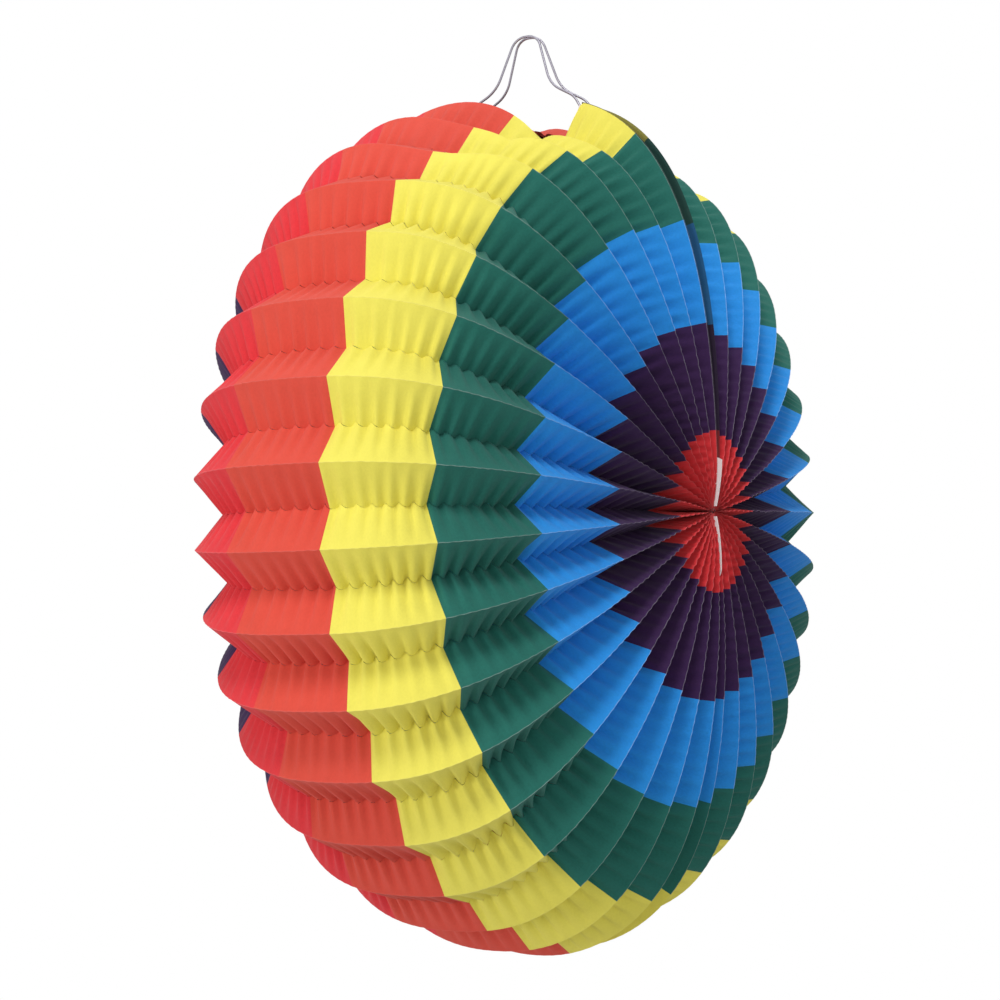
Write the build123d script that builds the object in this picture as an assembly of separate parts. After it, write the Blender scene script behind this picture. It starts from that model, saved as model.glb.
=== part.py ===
from build123d import *
import os
from math import cos, sin, tan, radians, hypot, sqrt, pi

# Pleated disc lantern of crepe paper. The pleats are a fan about one horizontal
# axis, the pole axis, which lies along Y. Each ridge fold runs from the front
# pole, out over the rim and back to the rear pole. Origin: where the two wire
# bows hang on a hook. +Z is up, and the front face looks towards -Y.

# ---- paper body ----
rim_radius = 172.0          # pole axis to the ridge folds at the rim
half_width = 87.0           # middle plane to each pole
profile_power = 2.7         # 2 is an ellipse, more is squarer at the rim
pleat_depth = 9.9           # ridge fold to valley fold, at the rim of the open fan
paper_thickness = 0.3       # creped paper, ripples included
left_pleats = 17            # pleats of the left half sheet
right_pleats = 16           # pleats of the right half sheet
joint_share = 0.585         # the two pleats glued to the bottom card stand closer
seam_gap_deg = 4.0          # between the two end cards when the fan is open
pole_radius = 6.0           # pleat ends are drawn together to this radius
pleat_clearance = 0.1       # each side of a valley fold
pleat_stations = 17         # sections along one pleat
glue_clearance = 0.05       # between pieces that are glued or clenched together

# ---- cards ----
card_thickness = 0.5
card_inset = 0.4            # card edge below the ridge fold
card_depth = 22.0           # inner edge of an end card below the ridge fold
card_start_radius = 9.0     # inner end of a card, beside the pole
card_nose_radius = 21.0     # up to here a card stands proud at the pole
card_nose_proud = 1.0
joint_card_band = 13.0      # width of the bottom joint card under the valleys
opening_half_width = 28.0   # top opening, cut through the end cards
opening_cut_depth = 8.5     # how far the end pleats are cut back there

# ---- wire bows ----
wire_diameter = 1.0
bow_rise = 28.0             # inside of the bow top above the rim
bow_shoulder_half = 5.3     # half span of the corners that are rounded into the top
bow_waist_half = 13.0       # half span where the sides turn outwards
bow_waist_rise = 6.5        # the same above the rim
bow_foot_half = 25.0        # half span where the legs turn down to the paper
bow_foot_rise = 0.0
bow_shoulder_bend = 6.5     # bend radii of the wire
bow_waist_bend = 14.0
bow_foot_bend = 9.0
bow_leg_bend = 20.0
bow_side_gap = 1.4          # each bow's top to the middle plane
leg_inset = 4.5             # wire leg below the ridge fold
leg_end_y = 64.0            # how far each leg runs towards the pole
strip_thickness = 0.2
strip_width = 7.0
strip_start_y = 33.0
strip_past_leg = 4.0
leg_before_strip = 2.0

# ---- pole ties ----
tie_radius = 5.6
tie_length = 14.0
tie_set_in = 1.5
tie_edge_radius = 1.5

# ---- candle holder on the bottom joint card ----
cup_radius = 8.5
cup_height = 10.0
cup_wall = 0.5
clip_wall = 0.4
clip_width = 12.0
clip_depth = 9.0
clip_under_card = 0.1
cup_above_clip = 0.15
eyelet_radius = 1.2
eyelet_head_radius = 2.0
eyelet_head = 0.3

# ---- derived ----
pleat_count = left_pleats + right_pleats
open_angle = 360.0 - seam_gap_deg
pitch = open_angle / (pleat_count + joint_share)
left_card_angle = 90.0 + seam_gap_deg / 2
right_card_angle = left_card_angle + open_angle
joint_card_angle = left_card_angle + (left_pleats + joint_share / 2) * pitch
axis_z = -(rim_radius + bow_rise)
wire_radius = wire_diameter / 2
half_slope = tan(radians(pitch / 2))
joint_slope = tan(radians(pitch * joint_share / 2))
panel_width = hypot(pleat_depth, (rim_radius - pleat_depth) * half_slope)
card_face = card_thickness / 2 + glue_clearance
wire_offset = card_face + wire_radius


# The ridge line from the front pole to the rear one, as close (radius, y) points.
def ridge_line():
    dense = []
    steps = 4000
    for k in range(steps + 1):
        t = pi * k / steps
        side = -1.0 if t < pi / 2 else 1.0
        r = rim_radius * sin(t) ** (2 / profile_power)
        y = side * half_width * abs(cos(t)) ** (2 / profile_power)
        dense.append((max(r, 0.0), y))
    return dense


RIDGE = ridge_line()


def outward(r, y):
    gr = r ** (profile_power - 1) / rim_radius ** profile_power
    gy = abs(y) ** (profile_power - 1) / half_width ** profile_power
    gy = gy if y > 0 else -gy
    size = hypot(gr, gy)
    return gr / size, gy / size


# Points an even distance apart along the part of the ridge line that keep allows.
def stations(count, keep):
    kept = [p for p in RIDGE if keep(p)]
    run = [0.0]
    for a, b in zip(kept, kept[1:]):
        run.append(run[-1] + hypot(b[0] - a[0], b[1] - a[1]))
    out = []
    j = 0
    for k in range(count):
        want = run[-1] * k / (count - 1)
        while j < len(run) - 2 and run[j + 1] < want:
            j += 1
        f = (want - run[j]) / (run[j + 1] - run[j])
        a = kept[j]
        b = kept[j + 1]
        out.append((a[0] + f * (b[0] - a[0]), a[1] + f * (b[1] - a[1])))
    return out


# How far below the ridge a panel of full width meets its valley fold.
def valley_depth(r, y, slope):
    nr, ny = outward(r, y)
    s2 = slope ** 2
    a = 1 + s2 * nr * nr
    b = s2 * r * nr
    c = s2 * r * r - panel_width ** 2
    return (b + sqrt(b * b - a * c)) / a


def below(r, y, depth):
    nr, ny = outward(r, y)
    return r - depth * nr, y - depth * ny


# Turns a solid built along +X to an angle of the fan, and moves it to the axis.
def to_fan(shape, angle):
    return Pos(0, 0, axis_z) * Rot(0, -angle, 0) * shape


# The foot of a panel at its valley fold: depth, point, half width and wall there.
def panel_foot(r, y, slope, clear):
    depth = valley_depth(r, y, slope)
    vr, vy = below(r, y, depth)
    half = vr * slope - clear
    wall = min(paper_thickness * panel_width / depth, 0.45 * half)
    return depth, (vr, vy), half, wall


# One pleat, ridge fold along +X: a V that follows the ridge line.
def pleat(low_slope, low_clear, high_slope, high_clear):
    wires = []
    for r, y in stations(pleat_stations, lambda p: p[0] >= pole_radius):
        low_depth, low, low_half, low_wall = panel_foot(r, y, low_slope, low_clear)
        high_depth, high, high_half, high_wall = panel_foot(r, y, high_slope, high_clear)
        apex_depth = max(low_depth * low_wall / low_half, high_depth * high_wall / high_half)
        apex = below(r, y, apex_depth)
        points = [
            (r, y, 0),
            (high[0], high[1], high_half),
            (high[0], high[1], high_half - high_wall),
            (apex[0], apex[1], 0),
            (low[0], low[1], low_wall - low_half),
            (low[0], low[1], -low_half),
        ]
        wires.append(Wire.make_polygon([Vector(*p) for p in points]))
    return Solid.make_loft(wires)


# The single panel between an end card, in the plane of +X, and the first pleat.
def end_pleat():
    wires = []
    for r, y in stations(pleat_stations, lambda p: p[0] >= card_start_radius):
        depth = valley_depth(r, y, half_slope)
        vr, vy = below(r, y, depth)
        far = vr * half_slope - pleat_clearance
        wall = min(paper_thickness * panel_width / depth, 0.45 * (far - card_face))
        foot = below(r, y, depth * wall / (far - card_face))
        points = [
            (r, y, card_face),
            (vr, vy, far),
            (vr, vy, far - wall),
            (foot[0], foot[1], card_face),
        ]
        wires.append(Wire.make_polygon([Vector(*p) for p in points]))
    whole = Solid.make_loft(wires)
    reach = rim_radius - opening_cut_depth
    cutter = Pos(reach + 20, 0, 0) * Box(40, 2 * opening_half_width, 60)
    return whole - cutter


# A flat card in the plane of +X, between two depths below the ridge line.
def card_plate(points, outer_depth, inner_depth, thickness):
    outer = [below(r, y, outer_depth(r, y)) for r, y in points]
    inner = [below(r, y, inner_depth(r, y)) for r, y in reversed(points)]
    top = Spline([(r, y, 0) for r, y in outer])
    bottom = Spline([(r, y, 0) for r, y in inner])
    edges = [top, Line(top @ 1, bottom @ 0), bottom, Line(bottom @ 1, top @ 0)]
    face = Face(Wire(edges))
    return extrude(face, thickness / 2, both=True)


# Near a pole the card stands a little proud of the folds.
def nose_depth(r, settled):
    share = min(max((r - card_nose_radius) / card_nose_radius, 0.0), 1.0)
    ease = share * share * (3 - 2 * share)
    return -card_nose_proud + (settled + card_nose_proud) * ease


def card_arm(side):
    def keep(p):
        return p[0] >= card_start_radius and side * p[1] >= opening_half_width
    return card_plate(
        stations(13, keep),
        lambda r, y: nose_depth(r, card_inset),
        lambda r, y: min(card_depth, half_width - 2),
        card_thickness,
    )


def joint_card():
    plate = card_plate(
        stations(25, lambda p: p[0] >= card_start_radius),
        lambda r, y: nose_depth(r, valley_depth(r, y, joint_slope) + 0.3),
        lambda r, y: valley_depth(r, y, joint_slope) + joint_card_band,
        card_thickness,
    )
    return plate - Pos(eyelet_r, 0, 0) * Cylinder(eyelet_radius + glue_clearance, 4)


# ---- wire bow, in the plane of +X, leaning over to the middle plane ----
lean_angle = radians(seam_gap_deg / 2)
bow_top_r = rim_radius + bow_rise + wire_radius
lean_at_top = bow_top_r * sin(lean_angle) - bow_side_gap


def lean(r):
    share = min(max((r - rim_radius) / (bow_top_r - rim_radius), 0.0), 1.0)
    return -wire_offset - (lean_at_top - wire_offset) * share


# The front leg, from its end towards the middle.
def leg_points(count):
    def keep(p):
        return -leg_end_y <= p[1] <= leg_before_strip - strip_start_y
    return [below(r, y, leg_inset) for r, y in stations(count, keep)]


def wire_bow():
    half = leg_points(4)
    half.append((rim_radius + bow_foot_rise, -bow_foot_half))
    half.append((rim_radius + bow_waist_rise, -bow_waist_half))
    half.append((bow_top_r, -bow_shoulder_half))
    line = half + [(r, -y) for r, y in reversed(half)]
    path_points = [(r, y, lean(r)) for r, y in line]
    side_bends = [bow_leg_bend] * 3 + [bow_foot_bend, bow_waist_bend, bow_shoulder_bend]
    radii = side_bends + side_bends[::-1]
    path = FilletPolyline(*path_points, radius=radii)
    start = Plane(origin=path @ 0, z_dir=path % 0)
    section = start * Circle(wire_radius)
    return sweep(section, path)


# Paper strip that holds a leg of the bow to its card.
def leg_strip(side):
    def keep(p):
        return strip_start_y <= side * p[1] <= leg_end_y + strip_past_leg
    plate = card_plate(
        stations(6, keep),
        lambda r, y: leg_inset - strip_width / 2,
        lambda r, y: leg_inset + strip_width / 2,
        strip_thickness,
    )
    above = wire_offset + wire_radius + glue_clearance + strip_thickness / 2
    return Pos(0, 0, -above) * plate


# ---- candle holder, along +X towards the rim ----
rim_valley_r = rim_radius - valley_depth(rim_radius, 0.0, joint_slope)
clip_base_r = rim_valley_r - joint_card_band - clip_wall - clip_under_card
eyelet_r = clip_base_r + clip_wall + clip_depth / 2 + 0.5


def holder_clip():
    base = Pos(clip_base_r, 0, 0) * Box(clip_wall, clip_width, 2 * (card_face + clip_wall))
    leg = Box(clip_depth, clip_width, clip_wall)
    mid_r = clip_base_r + clip_wall / 2 + clip_depth / 2
    low = Pos(mid_r, 0, -card_face - clip_wall / 2) * leg
    high = Pos(mid_r, 0, card_face + clip_wall / 2) * leg
    body = base + low + high
    return body - Pos(eyelet_r, 0, 0) * Cylinder(eyelet_radius + glue_clearance, 6)


# The cup stands upright on the clip, so it is built in place.
def candle_cup():
    angle = radians(joint_card_angle)
    seat_r = clip_base_r - clip_wall / 2
    outer = Cylinder(cup_radius, cup_height)
    cup = outer - Pos(0, 0, cup_wall) * Cylinder(cup_radius - cup_wall, cup_height)
    lift = cup_above_clip + cup_height / 2
    return Pos(seat_r * cos(angle), 0, axis_z + seat_r * sin(angle) + lift) * cup


def eyelet():
    half = card_face + clip_wall + 0.03
    shank = Cylinder(eyelet_radius, 2 * half)
    head = Cylinder(eyelet_head_radius, eyelet_head)
    shift = half + eyelet_head / 2
    return shank + Pos(0, 0, shift) * head + Pos(0, 0, -shift) * head


def pole_tie(side):
    body = Rot(90, 0, 0) * Cylinder(tie_radius, tie_length)
    body = fillet(body.edges().filter_by(GeomType.CIRCLE), tie_edge_radius)
    return Pos(0, side * (half_width - tie_set_in - tie_length / 2), axis_z) * body


# ---- all pieces ----
parts = {}
plain = pleat(half_slope, pleat_clearance, half_slope, pleat_clearance)
before_joint = pleat(half_slope, pleat_clearance, joint_slope, card_face)
after_joint = pleat(joint_slope, card_face, half_slope, pleat_clearance)
for n in range(1, pleat_count + 1):
    shape = plain
    if n == left_pleats:
        shape = before_joint
    if n == left_pleats + 1:
        shape = after_joint
    skipped = 0.0 if n <= left_pleats else 1.0 - joint_share
    parts["pleat_%02d" % n] = to_fan(shape, left_card_angle + (n - skipped) * pitch)

flip = Rot(180, 0, 0)
for name, angle, turn in (
    ("left", left_card_angle, Rot(0, 0, 0)),
    ("right", right_card_angle, flip),
):
    parts[name + "_end_pleat"] = to_fan(turn * end_pleat(), angle)
    parts[name + "_wire_bow"] = to_fan(turn * wire_bow(), angle)
    for word, side in (("front", -1), ("back", 1)):
        own_side = side if name == "left" else -side
        parts[name + "_end_card_" + word] = to_fan(turn * card_arm(own_side), angle)
        parts[name + "_bow_strip_" + word] = to_fan(turn * leg_strip(own_side), angle)

parts["bottom_joint_card"] = to_fan(joint_card(), joint_card_angle)
parts["candle_clip"] = to_fan(holder_clip(), joint_card_angle)
parts["candle_cup"] = candle_cup()
parts["clip_eyelet"] = to_fan(Pos(eyelet_r, 0, 0) * eyelet(), joint_card_angle)
parts["front_pole_tie"] = pole_tie(-1)
parts["back_pole_tie"] = pole_tie(1)

os.makedirs("parts", exist_ok=True)
for name, shape in parts.items():
    solids = shape.solids()
    print(name, len(solids), round(sum(s.volume for s in solids), 2), all(s.is_valid for s in solids))
    export_step(shape if len(solids) > 1 else solids[0], "parts/" + name + ".step")
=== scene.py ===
import bpy
import math
import numpy as np
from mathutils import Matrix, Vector


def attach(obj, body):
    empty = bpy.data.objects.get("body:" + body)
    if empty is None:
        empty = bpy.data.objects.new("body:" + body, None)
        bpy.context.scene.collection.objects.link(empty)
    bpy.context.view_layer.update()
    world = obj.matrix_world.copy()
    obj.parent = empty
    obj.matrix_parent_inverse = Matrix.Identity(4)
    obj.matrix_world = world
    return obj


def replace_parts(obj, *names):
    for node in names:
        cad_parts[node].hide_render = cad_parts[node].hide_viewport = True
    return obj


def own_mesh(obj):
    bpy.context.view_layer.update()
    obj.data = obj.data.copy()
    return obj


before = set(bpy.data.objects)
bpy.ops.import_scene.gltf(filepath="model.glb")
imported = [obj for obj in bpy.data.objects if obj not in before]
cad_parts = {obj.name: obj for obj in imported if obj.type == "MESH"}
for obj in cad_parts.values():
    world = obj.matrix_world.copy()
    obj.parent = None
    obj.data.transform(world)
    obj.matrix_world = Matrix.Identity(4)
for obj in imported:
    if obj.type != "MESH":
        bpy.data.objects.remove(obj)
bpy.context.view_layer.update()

# ---- sizes in millimetres and fan angles in degrees, as in the CAD source ----
RIM = 172.0
HALF_WIDTH = 87.0
POWER = 2.7
PLEAT_DEPTH = 9.9
AXIS_Z = -200.0
# Pleats in each half sheet, and the step between the two pleats beside the joint card
# as a share of a full pitch.
LEFT = 17
RIGHT = 16
COUNT = LEFT + RIGHT
JOINT_SHARE = 0.585
# The seam between the two end cards, and the fan from card to card, open and closed.
SEAM = 4.0
OPEN = 360.0 - SEAM
PITCH = OPEN / (COUNT + JOINT_SHARE)
LEFT_CARD = 90.0 + SEAM / 2
RIGHT_CARD = LEFT_CARD + OPEN
JOINT_CARD = LEFT_CARD + (LEFT + JOINT_SHARE / 2) * PITCH
# The width of one panel of paper, from ridge to valley.
HALF_SLOPE = math.tan(math.radians(PITCH / 2))
PANEL = math.hypot(PLEAT_DEPTH, (RIM - PLEAT_DEPTH) * HALF_SLOPE)
# Half the length of the top opening, how deep its edge is cut, and where the legs of
# the wire bows lie below the ridge line.
OPENING = 28.0
CUT_DEPTH = 8.5
LEG_INSET = 4.5
# The first printed band from the pole, and the width of the others.
FIRST_BAND = 32.0
BAND = 42.8

# ---- sizes of the paper's own shape, in millimetres ----
RIPPLE = 6.8
RIDGE_RIPPLE = 4.1
# Where the pleats start, as a distance from the pole axis.
START_R = 0.8
# The paper stands off the card that it is glued to.
GLUE_GAP = 0.3
# An end panel that its card holds can sag so far; free in the opening it follows the
# pleat beside it by these shares, at its valley and at its cut edge.
HELD_SAG = 7.6
FREE_SAG = 0.96
EDGE_SAG = 0.90
LAST_LIFT = 3.0
BELLY = 6.8


# ---- the ridge line, by its length from the front pole ----
def ridge_table():
    t = np.linspace(0, math.pi, 6001)
    r = RIM * np.sin(t).clip(0) ** (2 / POWER)
    y = -np.sign(np.cos(t)) * HALF_WIDTH * np.abs(np.cos(t)) ** (2 / POWER)
    run = np.concatenate([[0], np.cumsum(np.hypot(np.diff(r), np.diff(y)))])
    return run, r, y


RUN, RIDGE_R, RIDGE_Y = ridge_table()
LENGTH = float(RUN[-1])


def ridge_at(s):
    return np.interp(s, RUN, RIDGE_R), np.interp(s, RUN, RIDGE_Y)


# The direction square to the ridge line, away from the body.
def outward(r, y):
    gr = r ** (POWER - 1) / RIM ** POWER
    gy = np.sign(y) * np.abs(y) ** (POWER - 1) / HALF_WIDTH ** POWER
    size = np.hypot(gr, gy)
    return gr / size, gy / size


# How deep the valley lies below the ridge where a panel of width PANEL meets a plane at
# this slope from the ridge's own plane.
def valley_depth(r, y, slope):
    nr = outward(r, y)[0]
    s2 = slope ** 2
    a = 1 + s2 * nr * nr
    b = s2 * r * nr
    c = s2 * r * r - PANEL ** 2
    return (b + np.sqrt(b * b - a * c)) / a


# Columns of the paper mesh, with one on every edge between two printed bands.
def columns(start, stop, step):
    edges = [start]
    edge = FIRST_BAND
    while edge < stop:
        if edge > start:
            edges.append(edge)
        edge += BAND
    edges.append(stop)
    out = []
    bands = []
    for a, b in zip(edges, edges[1:]):
        n = max(2, int(round((b - a) / step)))
        out.extend(np.linspace(a, b, n, endpoint=False))
        index = int(max(0, math.floor(((a + b) / 2 - FIRST_BAND) / BAND) + 1))
        bands.extend([index % 6] * n)
    out.append(stop)
    return np.array(out), bands


# ---- smooth repeatable noise along a pleat ----
def wander(s, seed, scale, amount):
    g = np.random.default_rng(seed)
    knots = g.normal(0, 1, int(LENGTH / scale) + 4)
    x = np.asarray(s) / scale
    i = np.floor(x).astype(int)
    f = x - i
    f = f * f * (3 - 2 * f)
    return amount * (knots[i] * (1 - f) + knots[i + 1] * f)


# Crepe ripples along one valley fold, as two waves a quarter turn apart: each is
# a row of rounded lobes with sharp turns between them.
def ripple(s, seed):
    phase = 2 * math.pi * s / RIPPLE + wander(s, seed, 21.0, 0.9) + seed
    size = 1 + wander(s, seed + 500, 16.0, 0.22)
    lobes = 1.15 * (2 * np.abs(np.cos(phase / 2)) - 1.27)
    swell = np.sin(phase) + 0.25 * np.sin(2 * phase + seed)
    return size * lobes, size * swell


def ridge_wave(s, seed):
    phase = 2 * math.pi * s / RIDGE_RIPPLE + wander(s, seed + 900, 15.0, 1.4)
    return np.sin(phase) + wander(s, seed + 950, 9.0, 0.5)


# ---- fan angles of the ridges: the drawn paper hangs a little uneven ----
def spread(angle):
    tight = -2.2 * math.exp(-(((angle - 222) / 26) ** 2))
    wide = 1.2 * math.exp(-(((angle - 135) / 14) ** 2))
    return tight + wide


def even_angle(n):
    skipped = 0.0 if n <= LEFT else 1.0 - JOINT_SHARE
    return LEFT_CARD + (n - skipped) * PITCH


def ridge_angle(n):
    even = even_angle(n)
    return even + (spread(even) if 0 < n <= COUNT else 0.0)


# Half the angle from a pleat to the next one, or all of it to the joint card.
def slope_to(n, other):
    if {n, other} == {LEFT, LEFT + 1}:
        return math.tan(math.radians(abs(JOINT_CARD - ridge_angle(n))))
    return math.tan(math.radians(abs(ridge_angle(other) - ridge_angle(n)) / 2))


# By pleats from the opening: the sag, where it is deepest, and its widths to front and
# back; and for the first two pleats of the left half a notch where the paper buckles.
SAG = {
    1: (12.6, -32.0, 33.0, 24.0),
    2: (10.0, -26.0, 30.0, 30.0),
    3: (8.0, -22.0, 24.0, 28.0),
    4: (1.5, -22.0, 30.0, 30.0),
}
NOTCH = {1: (6.3, -27.0, 4.5), 2: (3.0, -31.0, 5.0)}


# How far a ridge hangs below its even place: the pleats beside the opening sink
# between the bows, the last pleat stands up a little, and the lowest pleats belly out.
def droop(n, y):
    beside = n if n <= LEFT else COUNT + 1 - n
    sink, middle, wide_front, wide_back = SAG.get(beside, (0.0, 0.0, 1.0, 1.0))
    width = np.where(y < middle, wide_front, wide_back)
    low = sink * np.exp(-(((y - middle) / width) ** 2))
    if n in NOTCH:
        deep, at, sharp = NOTCH[n]
        low = low + deep * np.exp(-np.abs(y - at) / sharp)
    if n == COUNT:
        low = low - LAST_LIFT * np.exp(-(((y - 10) / 14.0) ** 2))
    from_joint = abs(n - LEFT - 0.5)
    belly = BELLY * math.exp(-((from_joint / 1.9) ** 2))
    return low + belly * np.exp(-((y / 38.0) ** 2))


# A step from one to none where value passes edge.
def below(value, edge, softness):
    return 1 / (1 + np.exp((value - edge) / softness))


# One where the sheet's end hangs free in the top opening, falling to none at its card.
def free_share(y):
    return below(np.abs(y), OPENING - 2.6, 0.8)


# The pleat ends are drawn in a little where they are tied.
def dimple(r):
    x = np.clip(1 - r / 22.0, 0, 1)
    return 2.6 * x * x


# Rows of the paper mesh, as shares of a panel from ridge to valley.
ROWS = np.array([0.0, 0.05, 0.16, 0.31, 0.47, 0.63, 0.78, 0.90, 1.0])


# How far the ripples may swing: less near the poles, where the pleats are close, and
# by the glued joint, and more on the lower half.
def ripple_room(half, valley):
    room = np.minimum(1.35, 0.33 * np.maximum(half, 0.05)) * (0.25 if valley == LEFT else 1.0)
    low_side = max(0.0, -math.sin(math.radians(even_angle(valley) + PITCH / 2)))
    return room * (1 + 0.45 * low_side)


# Points of the panel of pleat n towards pleat other, ridge to valley, in the plane
# frame of pleat n: radius, y, sideways offset, how far they hang down, and how far a
# hanging end panel is drawn towards the seam.
def panel(n, other, s):
    side = 1 if other > n else -1
    valley = min(n, other)
    slope = slope_to(n, other)
    r, y = ridge_at(s)
    nr, ny = outward(r, y)
    depth = valley_depth(r, y, slope)
    half = (r - depth * nr) * slope - (GLUE_GAP if valley == LEFT else 0.0)
    wave = np.minimum(0.08 + 0.32 * np.clip(1 - r / 95.0, 0, 1), 0.03 * r)
    ridge_side = wave * ridge_wave(s, 40 + 7 * n)
    ridge_deep = 0.35 * wave * ridge_wave(s + 2.0, 60 + 7 * n)
    lobes, swell = ripple(s, 12 + valley)
    lobes = lobes if valley <= LEFT else -lobes
    room = ripple_room(half, valley)
    swing = 0.66 * room * lobes
    rise = 0.80 * room * swell + 0.20 * room * lobes
    drop = droop(n, y)
    drop_valley = (drop + droop(other, y)) / 2
    pull = 0 * r
    if valley in (0, COUNT):
        sag = droop(1 if valley == 0 else COUNT, y)
        held = HELD_SAG * np.tanh(sag / (2 * HELD_SAG))
        loose = free_share(y)
        drop_valley = held * (1 - loose) + FREE_SAG * sag * loose
        flat = np.sqrt(np.maximum(PANEL ** 2 - depth ** 2, 1.0))
        hung = np.sqrt(np.maximum(PANEL ** 2 - (depth + held) ** 2, 16.0))
        pull = np.maximum(flat - hung, 0.0) * (1 if valley == 0 else -1)
        if n in (0, COUNT + 1):
            drop = EDGE_SAG * sag * loose
            ridge_side = 0.2 * ridge_side
            ridge_deep = 0.2 * ridge_deep
    grid = []
    for v in ROWS:
        grow = v * (1.3 - 0.3 * v)
        fall = (1 - v) ** 1.5
        off = side * half * v + swing * grow + ridge_side * fall
        deep = depth * v - rise * grow + ridge_deep * fall
        rr = r - deep * nr
        yy = y - deep * ny - np.sign(y) * dimple(r)
        grid.append((rr, yy, off, drop * (1 - v) + drop_valley * v, pull * v))
    return grid


# World points in metres of points in the plane frame of a fan angle.
def place(rr, yy, off, hang, pull, angle):
    a = math.radians(angle)
    x = rr * math.cos(a) - off * math.sin(a) + pull
    z = rr * math.sin(a) + off * math.cos(a) + AXIS_Z - hang
    return np.stack([x, yy, z], axis=-1) / 1000.0


# A grid mesh, rows by columns, with UVs in metres along and across the pleat.
def grid_mesh(name, rows, bands, s, across, papers):
    points = np.stack(rows)
    count, cols = points.shape[:2]
    verts = points.reshape(-1, 3)
    faces = []
    slots = []
    uvs = []
    for i in range(count - 1):
        for j in range(cols - 1):
            a = i * cols + j
            faces.append((a, a + 1, a + cols + 1, a + cols))
            slots.append(bands[j])
            low, high = across[i], across[i + 1]
            uvs.extend(
                [(s[j], low), (s[j + 1], low), (s[j + 1], high), (s[j], high)]
            )
    mesh = bpy.data.meshes.new(name)
    mesh.from_pydata([tuple(v) for v in verts], [], faces)
    for paper in papers:
        mesh.materials.append(paper)
    layer = mesh.uv_layers.new(name="along")
    layer.data.foreach_set("uv", np.array(uvs, dtype=np.float32).ravel())
    mesh.polygons.foreach_set("material_index", slots)
    mesh.polygons.foreach_set("use_smooth", [True] * len(faces))
    obj = bpy.data.objects.new(name, mesh)
    bpy.context.scene.collection.objects.link(obj)
    return obj


# Marks a row of the grid as a hard fold.
def crease_row(obj, cols, row):
    start = row * cols
    sharp = {(start + j, start + j + 1) for j in range(cols - 1)}
    for e in obj.data.edges:
        if tuple(sorted(e.vertices)) in sharp:
            e.use_edge_sharp = True


# ---- materials ----
BLACK = (0, 0, 0, 1)
WHITE = (1, 1, 1, 1)
GREY = (0.5, 0.5, 0.5, 1)
DIM = (0.35, 0.35, 0.35, 1)


def node_material(name):
    mat = bpy.data.materials.new(name)
    mat.use_nodes = True
    tree = mat.node_tree
    tree.nodes.clear()
    out = tree.nodes.new("ShaderNodeOutputMaterial")
    shader = tree.nodes.new("ShaderNodeBsdfPrincipled")
    tree.links.new(shader.outputs[0], out.inputs[0])
    return mat, tree, shader


def link(tree, a, b):
    tree.links.new(a, b)


def noise(tree, vector, scale, detail=3.0, rough=0.6):
    n = tree.nodes.new("ShaderNodeTexNoise")
    n.inputs["Scale"].default_value = scale
    n.inputs["Detail"].default_value = detail
    n.inputs["Roughness"].default_value = rough
    link(tree, vector, n.inputs["Vector"])
    return n.outputs["Fac"]


def mapping(tree, vector, scale):
    m = tree.nodes.new("ShaderNodeMapping")
    m.inputs["Scale"].default_value = scale
    link(tree, vector, m.inputs["Vector"])
    return m.outputs["Vector"]


def ramp(tree, value, stops):
    r = tree.nodes.new("ShaderNodeValToRGB")
    e = r.color_ramp.elements
    while len(e) < len(stops):
        e.new(0.5)
    for item, (at, colour) in zip(e, stops):
        item.position = at
        item.color = colour
    link(tree, value, r.inputs["Fac"])
    return r.outputs["Color"]


def scaled(tree, value, factor):
    m = tree.nodes.new("ShaderNodeMath")
    m.operation = "MULTIPLY"
    m.inputs[1].default_value = factor
    link(tree, value, m.inputs[0])
    return m.outputs[0]


def mix(tree, factor, a, b, kind="MIX"):
    m = tree.nodes.new("ShaderNodeMix")
    m.data_type = "RGBA"
    m.blend_type = kind
    for socket, value in ((m.inputs[0], factor), (m.inputs[6], a), (m.inputs[7], b)):
        if hasattr(value, "is_linked"):
            link(tree, value, socket)
        else:
            socket.default_value = value
    return m.outputs[2]


# Bumps on the surface from a noise, with their depth in metres.
def roughen(tree, shader, height, strength, depth):
    bump = tree.nodes.new("ShaderNodeBump")
    bump.inputs["Strength"].default_value = strength
    bump.inputs["Distance"].default_value = depth
    link(tree, height, bump.inputs["Height"])
    link(tree, bump.outputs[0], shader.inputs["Normal"])


# A colour of 0 to 255 as on screen, in the linear values that the shaders take.
def to_linear(rgb):
    values = []
    for c in rgb:
        dark = c / 255 / 12.92
        values.append(dark if c < 11 else ((c / 255 + 0.055) / 1.055) ** 2.4)
    return tuple(values)


def times(colour, factor):
    return tuple(c * factor for c in colour[:3]) + (1,)


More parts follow.
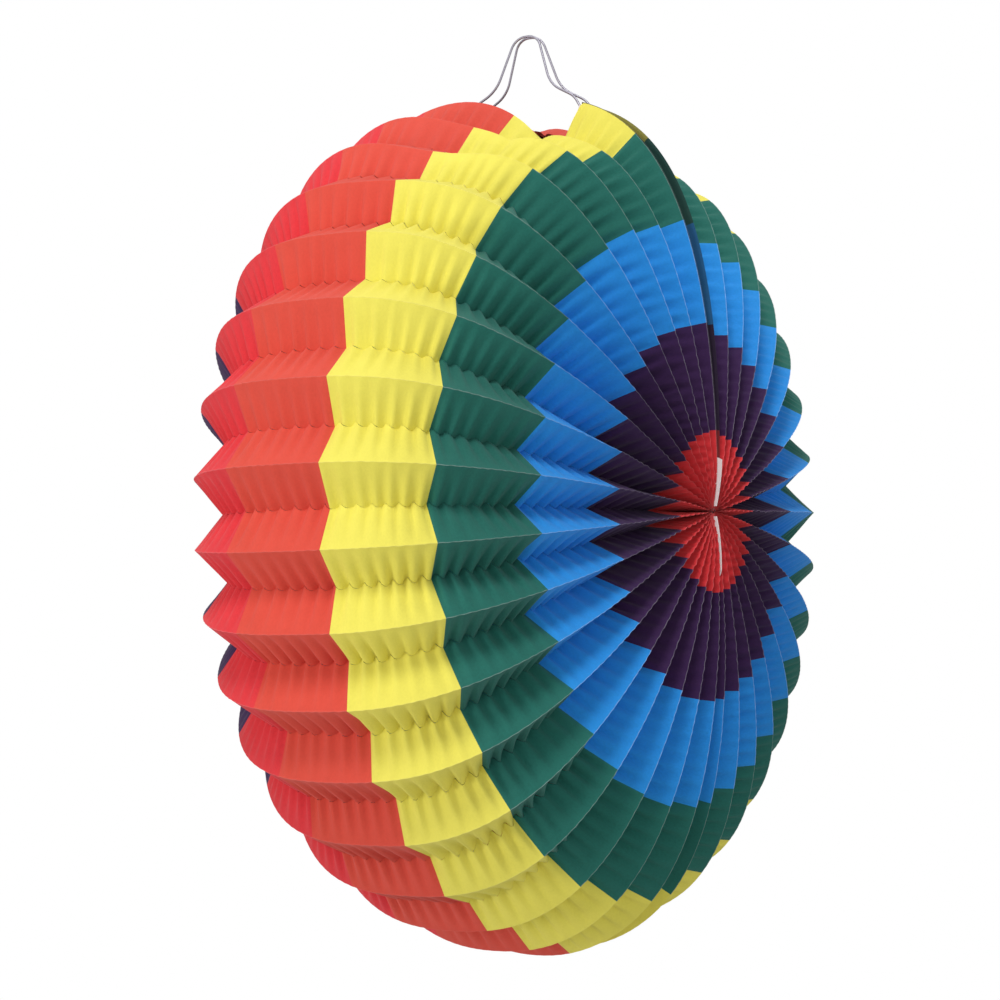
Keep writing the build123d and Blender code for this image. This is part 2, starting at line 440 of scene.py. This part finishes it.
# Creped paper: a fine leathery grain, painted shade that darkens its creases, printing
# that is not quite even, and the ridge fold a little worn.
def crepe(name, rgb, worn, deep):
    mat, tree, shader = node_material(name)
    base = to_linear(rgb) + (1,)
    uv = tree.nodes.new("ShaderNodeUVMap")
    uv.uv_map = "along"
    crease = noise(tree, mapping(tree, uv.outputs[0], (1150, 800, 1)), 1.0, 2.0, 0.6)
    grain = noise(tree, mapping(tree, uv.outputs[0], (2300, 2300, 1)), 1.0, 3.0, 0.7)
    cloud = noise(tree, mapping(tree, uv.outputs[0], (70, 70, 1)), 1.0, 3.0, 0.5)
    # Painted shade: where the crease noise is low the colour falls towards deep times itself.
    dark = times(base, deep)
    light = tuple(min(1.0, c * 1.12 + 0.010) for c in base[:3]) + (1,)
    tone = mix(tree, ramp(tree, crease, [(0.28, BLACK), (0.62, WHITE)]), dark, base)
    tone = mix(tree, ramp(tree, grain, [(0.56, BLACK), (0.80, GREY)]), tone, light)
    tone = mix(tree, ramp(tree, cloud, [(0.35, BLACK), (0.8, GREY)]), tone, light)
    split = tree.nodes.new("ShaderNodeSeparateXYZ")
    link(tree, uv.outputs[0], split.inputs[0])
    away = tree.nodes.new("ShaderNodeMath")
    away.operation = "ABSOLUTE"
    link(tree, split.outputs[1], away.inputs[0])
    share = scaled(tree, away.outputs[0], 1000 / PANEL)
    near = ramp(tree, share, [(0.003, WHITE), (0.017, BLACK)])
    worn_here = noise(tree, mapping(tree, uv.outputs[0], (300, 40, 1)), 1.0, 2.0, 0.6)
    patch = ramp(tree, worn_here, [(0.30, DIM), (0.60, WHITE)])
    edge = mix(tree, 1.0, near, patch, "MULTIPLY")
    paler = tuple(c * (1 - worn) + worn * (0.45 + 0.55 * c) for c in base[:3]) + (1,)
    link(tree, mix(tree, edge, tone, paler), shader.inputs["Base Color"])
    shader.inputs["Roughness"].default_value = 0.84
    shader.inputs["Specular IOR Level"].default_value = 0.22
    shader.inputs["Sheen Weight"].default_value = 0.06
    shader.inputs["Sheen Roughness"].default_value = 0.6
    height = mix(tree, 0.5, crease, grain)
    roughen(tree, shader, height, 0.30, 0.00022)
    return mat


def card_material(name, rgb, spots):
    mat, tree, shader = node_material(name)
    base = to_linear(rgb) + (1,)
    geo = tree.nodes.new("ShaderNodeTexCoord")
    grain = noise(tree, geo.outputs["Object"], 900.0, 4.0, 0.7)
    cloud = noise(tree, geo.outputs["Object"], 70.0, 3.0, 0.5)
    flecks = ramp(tree, grain, [(0.35, BLACK), (0.7, WHITE)])
    tone = mix(tree, flecks, times(base, spots), base)
    tone = mix(tree, scaled(tree, cloud, 0.25), tone, times(base, 0.9))
    link(tree, tone, shader.inputs["Base Color"])
    shader.inputs["Roughness"].default_value = 0.8
    shader.inputs["Specular IOR Level"].default_value = 0.3
    roughen(tree, shader, grain, 0.25, 0.0002)
    return mat


def metal_material(name, rgb, rough, streak):
    mat, tree, shader = node_material(name)
    base = to_linear(rgb) + (1,)
    geo = tree.nodes.new("ShaderNodeTexCoord")
    lines = noise(tree, mapping(tree, geo.outputs["Object"], streak), 1.0, 4.0, 0.6)
    link(tree, mix(tree, lines, times(base, 0.86), base), shader.inputs["Base Color"])
    shader.inputs["Metallic"].default_value = 1.0
    r = tree.nodes.new("ShaderNodeMapRange")
    r.inputs["To Min"].default_value = rough * 0.75
    r.inputs["To Max"].default_value = rough * 1.35
    link(tree, lines, r.inputs["Value"])
    link(tree, r.outputs[0], shader.inputs["Roughness"])
    roughen(tree, shader, lines, 0.05, 0.00002)
    return mat


def thread_material(name, rgb):
    mat, tree, shader = node_material(name)
    base = to_linear(rgb) + (1,)
    geo = tree.nodes.new("ShaderNodeTexCoord")
    fluff = noise(tree, geo.outputs["Object"], 2500.0, 3.0, 0.7)
    link(tree, mix(tree, fluff, times(base, 0.5), base), shader.inputs["Base Color"])
    shader.inputs["Roughness"].default_value = 0.75
    shader.inputs["Sheen Weight"].default_value = 0.3
    return mat


# Each stripe: name, colour, how worn its ridge fold is, and how much colour the painted crease
# shade keeps.
STRIPES = (
    ("crimson", (210, 48, 54), 0.20, 0.90),
    ("purple", (54, 24, 72), 0.44, 0.84),
    ("blue", (32, 137, 214), 0.58, 0.88),
    ("green", (27, 100, 89), 0.44, 0.84),
    ("yellow", (222, 212, 88), 0.12, 0.95),
    ("orange", (206, 71, 55), 0.12, 0.93),
)
PAPER = [crepe("crepe_" + name, rgb, worn, deep) for name, rgb, worn, deep in STRIPES]
# Darker copies of the stripe papers for the turned-over wraps: painted shade for the deep seam
# gap, also standing for the dark print there.
WRAP_SHADE_AND_PRINT = [
    crepe("wrap_shade_print_" + name, tuple(0.55 * c for c in rgb), 0.0, deep)
    for name, rgb, worn, deep in STRIPES
]
# The card is white; its slight pink is a painted reflection of the red paper beside it.
CARD = card_material("white_card", (236, 226, 226), 0.92)
WIRE = metal_material("steel_wire", (170, 167, 178), 0.52, (300, 300, 60))
TIN = metal_material("tin_plate", (196, 196, 192), 0.34, (300, 300, 90))
THREAD = thread_material("red_thread", (96, 20, 26))


def paint(obj, mats):
    obj.data.materials.clear()
    for m in mats:
        obj.data.materials.append(m)


# The paper rides on its body, with a mesh of its own.
def fold_with(obj, body):
    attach(obj, body)
    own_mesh(obj)


STEP = 0.97
RISING = len(RUN) // 2
POLE_START = float(np.interp(START_R, RIDGE_R[:RISING], RUN[:RISING]))
S, BANDS = columns(POLE_START, LENGTH - POLE_START, STEP)
ACROSS = list(-ROWS[::-1] * PANEL / 1000) + list(ROWS[1:] * PANEL / 1000)

for n in range(1, COUNT + 1):
    angle = ridge_angle(n)
    low = [place(*g, angle) for g in panel(n, n - 1, S)]
    high = [place(*g, angle) for g in panel(n, n + 1, S)]
    rows = low[::-1] + high[1:]
    obj = grid_mesh("pleat_%02d_paper" % n, rows, BANDS, S / 1000, ACROSS, PAPER)
    crease_row(obj, len(S), len(ROWS) - 1)
    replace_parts(obj, "pleat_%02d" % n)
    fold_with(obj, "fold_%02d" % n)

# ---- end panels, cut back at the top opening, and the wraps over the card edges ----
EDGE_START = 4.0
S_END, BANDS_END = columns(EDGE_START, LENGTH - EDGE_START, STEP)
CUT_SHARE = CUT_DEPTH / valley_depth(RIM, 0.0, HALF_SLOPE)
CUT_SOFTNESS = 0.35


# Inside the opening the panel starts at the cut, so its rows close up below it.
def end_panel(name, body, card_angle, n, other):
    side = 1 if other > n else -1
    grid = panel(n, other, S_END)
    y = ridge_at(S_END)[1]
    inside = below(np.abs(y), OPENING, CUT_SOFTNESS)
    rows = []
    for k, v in enumerate(ROWS):
        target = CUT_SHARE + (1 - CUT_SHARE) * v
        i = int(np.clip(np.searchsorted(ROWS, target) - 1, 0, len(ROWS) - 2))
        f = (target - ROWS[i]) / (ROWS[i + 1] - ROWS[i])
        lower = [grid[i][c] * (1 - f) + grid[i + 1][c] * f for c in range(5)]
        here = [grid[k][c] * (1 - inside) + lower[c] * inside for c in range(5)]
        here[2] = here[2] + side * GLUE_GAP * (1 - v)
        rows.append(place(*here, card_angle))
    across = list(ROWS * PANEL / 1000)
    obj = grid_mesh(name, rows, BANDS_END, S_END / 1000, across, PAPER)
    fold_with(obj, body)
    return obj


left_panel = end_panel("left_end_paper", "left_end", LEFT_CARD, 0, 1)
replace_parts(left_panel, "left_end_pleat")
right_panel = end_panel("right_end_paper", "right_end", RIGHT_CARD, COUNT + 1, COUNT)
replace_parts(right_panel, "right_end_pleat")


# The sheet's end is turned over the card's edge and glued down on the seam side, over
# the bow leg. Its first rows go round the edge: depth below the ridge, and offset.
WRAP_WIDTH = 6.6
WRAP_STEPS = 12
WRAP_TURN = ((-0.10, -0.32), (-0.22, 0.0))
LEG_TOP = 65.0
LEG_BUMP = 1.12
LEG_SPREAD = 0.95


def wrap(name, body, card_angle, side, y_side, seed):
    picked = np.where(ridge_at(S_END)[1] * y_side >= OPENING + 0.2)[0]
    s = S_END[picked]
    bands = [BANDS_END[i] for i in picked[:-1]]
    r, y = ridge_at(s)
    nr, ny = outward(r, y)
    width = WRAP_WIDTH + wander(s, seed, 14.0, 0.35)
    has_leg = below(np.abs(y), LEG_TOP, 0.8)
    lumps = 0.0768 * np.abs(ripple(s, seed)[0])
    rows = []
    across = []
    for k in range(WRAP_STEPS + 1):
        u = k / WRAP_STEPS
        depth = -0.12 + u * width
        leg = has_leg * LEG_BUMP * np.exp(-((depth - LEG_INSET) / LEG_SPREAD) ** 4)
        off = 0.34 + lumps * u + leg
        if k < len(WRAP_TURN):
            depth, off = (0 * s + value for value in WRAP_TURN[k])
        rr = r - depth * nr
        yy = y - depth * ny - np.sign(y) * dimple(r)
        rows.append(place(rr, yy, -side * off, 0 * s, 0 * s, card_angle))
        across.append((u * WRAP_WIDTH + 0.5) / 1000)
    # The wrap takes the darkened papers: painted shade of the seam gap, together with dark
    # print.
    obj = grid_mesh(name, rows, bands, s / 1000, across, WRAP_SHADE_AND_PRINT)
    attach(obj, body)
    return obj


for name, body, angle, side in (
    ("left", "left_end", LEFT_CARD, 1),
    ("right", "right_end", RIGHT_CARD, -1),
):
    for word, y_side in (("front", -1), ("back", 1)):
        piece = wrap(name + "_wrap_" + word, body, angle, side, y_side, 70 + side + y_side)
        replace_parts(piece, name + "_bow_strip_" + word)


# ---- pole ties: a few turns of thread round the drawn-in pleat ends ----
TIE_TURNS = 3.4
TIE_POINTS = 60
TIE_RADIUS = 1.15
TIE_START = 84.7
TIE_RISE = 0.42
TIE_TAIL = ((0.9, 83.6, -1.6), (0.4, 82.4, -3.4))


def thread_ring(name, y_side):
    curve = bpy.data.curves.new(name, "CURVE")
    curve.dimensions = "3D"
    spline = curve.splines.new("NURBS")
    pts = []
    for k in range(TIE_POINTS):
        a = 2 * math.pi * TIE_TURNS * k / (TIE_POINTS - 1)
        rad = TIE_RADIUS + 0.08 * math.sin(5 * a) + 0.02 * k / TIE_POINTS
        depth = TIE_START - TIE_RISE * a / (2 * math.pi)
        pts.append((rad * math.cos(a), y_side * depth, rad * math.sin(a) + AXIS_Z))
    for x, depth, z in TIE_TAIL:
        pts.append((x, y_side * depth, AXIS_Z + z))
    spline.points.add(len(pts) - 1)
    for p, q in zip(spline.points, pts):
        p.co = (q[0] / 1000, q[1] / 1000, q[2] / 1000, 1)
    spline.order_u = 4
    spline.use_endpoint_u = True
    curve.bevel_depth = 0.00022
    curve.bevel_resolution = 2
    obj = bpy.data.objects.new(name, curve)
    bpy.context.scene.collection.objects.link(obj)
    curve.materials.append(THREAD)
    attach(obj, "left_end")
    return obj


for word, y_side in (("front", -1), ("back", 1)):
    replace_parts(thread_ring(word + "_tie_thread", y_side), word + "_pole_tie")

# ---- cards: flat sheets in the plane of a fan angle, drawn in at the poles ----
CARD_THICK = 0.5
CARD_STEP = 1.5
CARD_SETTLED = 1.3
ARM_DEPTH = 22.0
TONGUE = 2.0
TONGUE_END = 21.0
JOINT_TONGUE = 1.2
TAPER_END = 24.0
JOINT_WIDTH = 13.0
JOINT_SLOPE = math.tan(math.radians(PITCH * JOINT_SHARE / 2))


def card_mesh(name, angle, stretch, outer_depth, inner_depth):
    count = max(12, int((stretch[1] - stretch[0]) / CARD_STEP))
    r, y = ridge_at(np.linspace(stretch[0], stretch[1], count))
    nr, ny = outward(r, y)
    loops = []
    for depth, off in (
        (outer_depth(r, y), CARD_THICK / 2),
        (inner_depth(r, y), CARD_THICK / 2),
        (inner_depth(r, y), -CARD_THICK / 2),
        (outer_depth(r, y), -CARD_THICK / 2),
    ):
        yy = y - depth * ny - np.sign(y) * dimple(r)
        loops.append(place(r - depth * nr, yy, off + 0 * r, 0 * r, 0 * r, angle))
    verts = np.stack(loops, axis=1).reshape(-1, 3)
    faces = [(0, 1, 2, 3), tuple(4 * (count - 1) + k for k in (3, 2, 1, 0))]
    for i in range(count - 1):
        for k in range(4):
            a, b = 4 * i + k, 4 * i + (k + 1) % 4
            faces.append((a, a + 4, b + 4, b))
    mesh = bpy.data.meshes.new(name)
    mesh.from_pydata([tuple(v) for v in verts], [], faces)
    mesh.materials.append(CARD)
    obj = bpy.data.objects.new(name, mesh)
    bpy.context.scene.collection.objects.link(obj)
    return obj


# The left card shows at the poles as a tongue that ends bluntly; the right one stays
# below the ridge line from end to end.
def left_outer(r, y):
    tongue = -TONGUE * (0.55 + 0.45 * r / TONGUE_END)
    return np.where(r < TONGUE_END, tongue, CARD_SETTLED)


def right_outer(r, y):
    return 0 * r + CARD_SETTLED


def arm_inner(r, y):
    return 0 * r + ARM_DEPTH


# The joint card tapers from a tongue at the pole to its place under the valleys.
def joint_outer(r, y):
    tongue = -JOINT_TONGUE * (1 - r / TAPER_END)
    sunk = np.minimum(valley_depth(r, y, JOINT_SLOPE) + 0.3, 0.5 * (r - TAPER_END))
    return np.where(r < TAPER_END, tongue, sunk)


def joint_inner(r, y):
    return valley_depth(r, y, JOINT_SLOPE) + JOINT_WIDTH


NEAR_POLE = 2.0
FAR_POLE = LENGTH - NEAR_POLE
front_edge = float(np.interp(-OPENING, RIDGE_Y, RUN))
back_edge = float(np.interp(OPENING, RIDGE_Y, RUN))
for name, angle, outer in (("left", LEFT_CARD, left_outer), ("right", RIGHT_CARD, right_outer)):
    for word, stretch in (("front", (NEAR_POLE, front_edge)), ("back", (back_edge, FAR_POLE))):
        node = name + "_end_card_" + word
        arm = card_mesh(node + "_sheet", angle, stretch, outer, arm_inner)
        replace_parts(arm, node)
        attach(arm, name + "_end")

whole = (NEAR_POLE, FAR_POLE)
joint_sheet = card_mesh("bottom_joint_sheet", JOINT_CARD, whole, joint_outer, joint_inner)
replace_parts(joint_sheet, "bottom_joint_card")
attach(joint_sheet, "bottom_joint")

# ---- CAD pieces that keep their shape ----
for node in ("left_wire_bow", "right_wire_bow"):
    paint(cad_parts[node], [WIRE])
for node in ("candle_cup", "candle_clip", "clip_eyelet"):
    paint(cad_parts[node], [TIN])

# ---- floor, light and camera, in metres ----
FLOOR_Z = -0.62
FLOOR_RADIUS = 1.5
FLOOR_SIDES = 96
turns = [2 * math.pi * k / FLOOR_SIDES for k in range(FLOOR_SIDES)]
corners = [(FLOOR_RADIUS * math.cos(a), FLOOR_RADIUS * math.sin(a), FLOOR_Z) for a in turns]
floor_mesh = bpy.data.meshes.new("floor")
floor_mesh.from_pydata(corners, [], [tuple(range(FLOOR_SIDES))])
floor = bpy.data.objects.new("floor", floor_mesh)
bpy.context.scene.collection.objects.link(floor)
FLOOR, _, floor_shader = node_material("floor_pale")
floor_shader.inputs["Base Color"].default_value = (0.55, 0.55, 0.55, 1)
floor_shader.inputs["Roughness"].default_value = 0.9
paint(floor, [FLOOR])

# The surroundings by height, from straight down (0) to straight up (1): white about
# the level of the camera, and grey below and above.
SKY = (
    (0.33, (0.45, 0.45, 0.45, 1)),
    (0.37, WHITE),
    (0.645, WHITE),
    (0.74, (0.42, 0.42, 0.42, 1)),
)
world = bpy.data.worlds.new("studio")
bpy.context.scene.world = world
world.use_nodes = True
sky = world.node_tree
sky.nodes.clear()
sky_out = sky.nodes.new("ShaderNodeOutputWorld")
sky_light = sky.nodes.new("ShaderNodeBackground")
sky_way = sky.nodes.new("ShaderNodeTexCoord")
sky_split = sky.nodes.new("ShaderNodeSeparateXYZ")
sky_height = sky.nodes.new("ShaderNodeMapRange")
sky_ramp = sky.nodes.new("ShaderNodeValToRGB")
sky_height.inputs["From Min"].default_value = -1.0
sky_height.inputs["From Max"].default_value = 1.0
stops = sky_ramp.color_ramp.elements
stops[0].position = 0.0
stops[0].color = (0.4, 0.4, 0.4, 1)
stops[1].position = 1.0
stops[1].color = (0.40, 0.40, 0.41, 1)
for at, colour in SKY:
    stops.new(at).color = colour
link(sky, sky_way.outputs["Generated"], sky_split.inputs[0])
link(sky, sky_split.outputs[2], sky_height.inputs["Value"])
link(sky, sky_height.outputs[0], sky_ramp.inputs["Fac"])
link(sky, sky_ramp.outputs["Color"], sky_light.inputs["Color"])
link(sky, sky_light.outputs[0], sky_out.inputs[0])


def area(name, where, target, size, power):
    light = bpy.data.lights.new(name, "AREA")
    light.shape = "DISK"
    light.size = size
    light.energy = power
    obj = bpy.data.objects.new(name, light)
    bpy.context.scene.collection.objects.link(obj)
    obj.location = where
    aim = Vector(target) - Vector(where)
    obj.rotation_mode = "QUATERNION"
    obj.rotation_quaternion = aim.to_track_quat("-Z", "Y")


area("key", (-1.55, -0.6, 1.6), (0, 0, -0.2), 0.8, 28)
area("top", (0.1, 0.1, 1.5), (0, 0, -0.2), 1.2, 8)
area("side", (-1.35, 0.55, -0.45), (0, 0, -0.25), 0.4, 5)

# The camera looks at a point by the middle of the body, moved across and up in its own
# view, in millimetres.
AZIMUTH = math.radians(-58.68)
ELEVATION = math.radians(-4.06)
DISTANCE = 1067.7
MIDDLE = (0.0, 6.5, AXIS_Z)
SHIFT_LEFT = 6.2
SHIFT_UP = 7.8
level = math.cos(ELEVATION)
back = np.array(
    [math.sin(AZIMUTH) * level, -math.cos(AZIMUTH) * level, math.sin(ELEVATION)]
)
right = np.array([math.cos(AZIMUTH), math.sin(AZIMUTH), 0.0])
up = np.cross(back, right)
where = np.array(MIDDLE) - SHIFT_LEFT * right + SHIFT_UP * up + DISTANCE * back
cam_data = bpy.data.cameras.new("camera")
cam = bpy.data.objects.new("camera", cam_data)
bpy.context.scene.collection.objects.link(cam)
cam.location = [float(v) / 1000 for v in where]
cam.rotation_mode = "QUATERNION"
cam.rotation_quaternion = Vector([-float(v) for v in back]).to_track_quat("-Z", "Y")
cam_data.sensor_width = 36.0
cam_data.lens = 93.3
cam_data.clip_start = 0.01
cam_data.clip_end = 100.0
bpy.context.scene.camera = cam
bpy.context.scene.view_settings.view_transform = "Standard"
